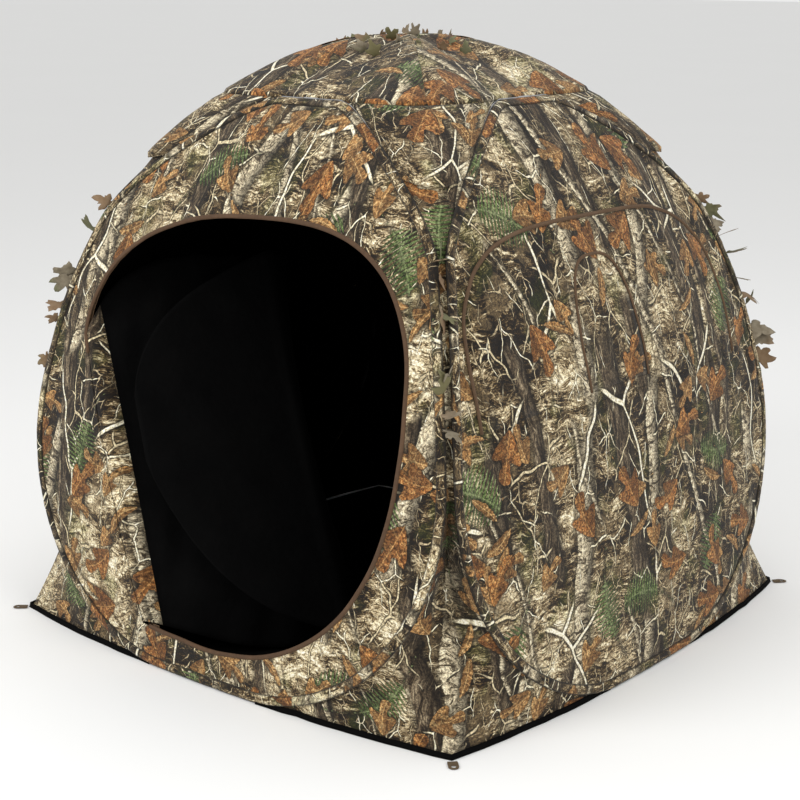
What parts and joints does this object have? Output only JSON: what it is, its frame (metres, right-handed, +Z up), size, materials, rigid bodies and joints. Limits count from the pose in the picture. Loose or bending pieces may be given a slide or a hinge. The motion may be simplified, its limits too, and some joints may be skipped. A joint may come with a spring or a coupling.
{
  "type": "pop up ground blind",
  "caption": "Square pop-up camouflage ground blind with hooped walls, pyramid roof, side-opening door, zipped window flaps and corner stake loops.",
  "frame": {"origin": "centre of the square footprint, on the ground", "axes": "+Z up; the door wall faces -Y; +X is to the right as the door is faced"},
  "size_m": [1.659, 1.659, 1.6147],
  "materials": {
    "camo_fabric": "matt printed polyester, black coating inside",
    "black_coating": "matt black coated cloth",
    "brown_binding": "woven tape",
    "zip_tape": "woven tape with fine teeth",
    "webbing": "woven webbing",
    "leaf_trim": "printed cut cloth",
    "pull_cord": "braided loop",
    "spring_steel": "flat tempered band",
    "ferrule_steel": "crimped sheet",
    "slider_metal": "satin dark paint",
    "toggle_plastic": "matt moulded"
  },
  "bodies": {
    "shell": {"front_hoop": "spring_steel", "right_hoop": "spring_steel", "back_hoop": "spring_steel", "left_hoop": "spring_steel", "front_sleeve": "camo_fabric", "right_sleeve": "camo_fabric", "back_sleeve": "camo_fabric", "left_sleeve": "camo_fabric", "hoop_ferrules": "ferrule_steel", "front_panel": "camo_fabric", "right_panel": "camo_fabric", "back_panel": "camo_fabric", "left_panel": "camo_fabric", "roof_panel": "camo_fabric", "crown_patch": "black_coating", "front_right_upper_gusset": "camo_fabric", "back_right_upper_gusset": "camo_fabric", "back_left_upper_gusset": "camo_fabric", "front_left_upper_gusset": "camo_fabric", "front_right_lower_gusset": "camo_fabric", "back_right_lower_gusset": "camo_fabric", "back_left_lower_gusset": "camo_fabric", "front_left_lower_gusset": "camo_fabric", "corner_hems": "black_coating", "door_binding": "brown_binding", "door_zip": "zip_tape", "door_toggle": "toggle_plastic", "right_window_zip": "zip_tape", "back_window_zip": "zip_tape", "left_window_zip": "zip_tape", "seam_leaves": "leaf_trim", "peak_leaves": "leaf_trim"},
    "door_inner": {"door_inner_leaf": "camo_fabric"},
    "door_outer": {"door_outer_leaf": "camo_fabric"},
    "door_top_slider": {"door_top_slider": "slider_metal"},
    "door_top_pull": {"door_top_pull": "pull_cord"},
    "door_sill_slider": {"door_sill_slider": "slider_metal"},
    "door_sill_pull": {"door_sill_pull": "pull_cord"},
    "right_window": {"right_window_flap": "camo_fabric", "right_port_zip": "zip_tape"},
    "right_port": {"right_port_flap": "camo_fabric"},
    "right_window_slider": {"right_window_slider": "slider_metal"},
    "right_window_pull": {"right_window_pull": "pull_cord"},
    "right_port_slider": {"right_port_slider": "slider_metal"},
    "back_window": {"back_window_flap": "camo_fabric", "back_port_zip": "zip_tape"},
    "back_port": {"back_port_flap": "camo_fabric"},
    "back_window_slider": {"back_window_slider": "slider_metal"},
    "back_window_pull": {"back_window_pull": "pull_cord"},
    "back_port_slider": {"back_port_slider": "slider_metal"},
    "left_window": {"left_window_flap": "camo_fabric", "left_port_zip": "zip_tape"},
    "left_port": {"left_port_flap": "camo_fabric"},
    "left_window_slider": {"left_window_slider": "slider_metal"},
    "left_window_pull": {"left_window_pull": "pull_cord"},
    "left_port_slider": {"left_port_slider": "slider_metal"},
    "front_right_stake_loop": {"front_right_stake_loop": "webbing"},
    "back_right_stake_loop": {"back_right_stake_loop": "webbing"},
    "back_left_stake_loop": {"back_left_stake_loop": "webbing"},
    "front_left_stake_loop": {"front_left_stake_loop": "webbing"}
  },
  "joints": [
    {"name": "door_swing", "type": "hinge", "parent": "shell", "child": "door_inner", "pos_m": [-0.215, -0.81804, 0.112], "axis": [0.3939, -0.1466, -0.9074], "range_deg": [0, 60]},
    {"name": "door_unfold", "type": "hinge", "parent": "door_inner", "child": "door_outer", "pos_m": [0.13089, -0.40035, 0.03115], "axis": [-0.4239, 0.1661, 0.8903], "range_deg": [0, 172]},
    {"name": "door_top_run", "type": "slide", "parent": "shell", "child": "door_top_slider", "axis": [0.0668, 0.2686, 0.9609], "range_m": [0, 0.05]},
    {"name": "door_top_pull_swing", "type": "hinge", "parent": "door_top_slider", "child": "door_top_pull", "pos_m": [-0.52961, -0.68687, 0.82656], "axis": [0.9942, -0.1078, 0], "range_deg": [0, 100]},
    {"name": "door_sill_run", "type": "slide", "parent": "shell", "child": "door_sill_slider", "axis": [0.9984, -0.0247, -0.0511], "range_m": [0, 0.18]},
    {"name": "door_sill_pull_swing", "type": "hinge", "parent": "door_sill_slider", "child": "door_sill_pull", "pos_m": [-0.20043, -0.80562, 0.10455], "axis": [0.0014, 0.0335, 0.9994], "range_deg": [0, 42]},
    {"name": "right_window_fold", "type": "hinge", "parent": "shell", "child": "right_window", "pos_m": [0.71574, -0.595, 0.735], "axis": [-0.007, -1, 0], "range_deg": [0, 125]},
    {"name": "right_port_fold", "type": "hinge", "parent": "right_window", "child": "right_port", "pos_m": [0.74163, -0.198, 0.76], "axis": [-0.0141, -0.9999, 0], "range_deg": [0, 50]},
    {"name": "right_window_run", "type": "slide", "parent": "shell", "child": "right_window_slider", "axis": [-0.2465, -0.0323, 0.9686], "range_m": [0, 0.12]},
    {"name": "right_window_pull_swing", "type": "hinge", "parent": "right_window_slider", "child": "right_window_pull", "pos_m": [0.7111, 0.53305, 0.74499], "axis": [-0.1064, 0.9943, 0], "range_deg": [0, 100]},
    {"name": "right_port_run", "type": "slide", "parent": "right_window", "child": "right_port_slider", "axis": [-0.2461, -0.0323, 0.9687], "range_m": [0, 0.09]},
    {"name": "back_window_fold", "type": "hinge", "parent": "shell", "child": "back_window", "pos_m": [0.595, 0.71574, 0.735], "axis": [1, -0.007, 0], "range_deg": [0, 125]},
    {"name": "back_port_fold", "type": "hinge", "parent": "back_window", "child": "back_port", "pos_m": [0.198, 0.74163, 0.76], "axis": [0.9999, -0.0141, 0], "range_deg": [0, 50]},
    {"name": "back_window_run", "type": "slide", "parent": "shell", "child": "back_window_slider", "axis": [0.0323, -0.2465, 0.9686], "range_m": [0, 0.12]},
    {"name": "back_window_pull_swing", "type": "hinge", "parent": "back_window_slider", "child": "back_window_pull", "pos_m": [-0.53305, 0.7111, 0.74499], "axis": [-0.9943, -0.1064, 0], "range_deg": [0, 100]},
    {"name": "back_port_run", "type": "slide", "parent": "back_window", "child": "back_port_slider", "axis": [0.0323, -0.2461, 0.9687], "range_m": [0, 0.09]},
    {"name": "left_window_fold", "type": "hinge", "parent": "shell", "child": "left_window", "pos_m": [-0.71574, 0.595, 0.735], "axis": [0.007, 1, 0], "range_deg": [0, 20]},
    {"name": "left_port_fold", "type": "hinge", "parent": "left_window", "child": "left_port", "pos_m": [-0.74163, 0.198, 0.76], "axis": [0.0141, 0.9999, 0], "range_deg": [0, 110]},
    {"name": "left_window_run", "type": "slide", "parent": "shell", "child": "left_window_slider", "axis": [0.2465, 0.0323, 0.9686], "range_m": [0, 0.12]},
    {"name": "left_window_pull_swing", "type": "hinge", "parent": "left_window_slider", "child": "left_window_pull", "pos_m": [-0.7111, -0.53305, 0.74499], "axis": [0.1064, -0.9943, 0], "range_deg": [0, 100]},
    {"name": "left_port_run", "type": "slide", "parent": "left_window", "child": "left_port_slider", "axis": [0.2461, 0.0323, 0.9687], "range_m": [0, 0.09]},
    {"name": "front_right_loop_lift", "type": "hinge", "parent": "shell", "child": "front_right_stake_loop", "pos_m": [0.762, -0.762, 0.0025], "axis": [-0.7071, -0.7071, 0], "range_deg": [0, 80]},
    {"name": "back_right_loop_lift", "type": "hinge", "parent": "shell", "child": "back_right_stake_loop", "pos_m": [0.762, 0.762, 0.0025], "axis": [0.7071, -0.7071, 0], "range_deg": [0, 80]},
    {"name": "back_left_loop_lift", "type": "hinge", "parent": "shell", "child": "back_left_stake_loop", "pos_m": [-0.762, 0.762, 0.0025], "axis": [0.7071, 0.7071, 0], "range_deg": [0, 80]},
    {"name": "front_left_loop_lift", "type": "hinge", "parent": "shell", "child": "front_left_stake_loop", "pos_m": [-0.762, -0.762, 0.0025], "axis": [-0.7071, 0.7071, 0], "range_deg": [0, 80]}
  ],
  "couplings": [
    {"joint": "door_unfold", "follows": "door_swing", "ratio": 2.8667}
  ]
}
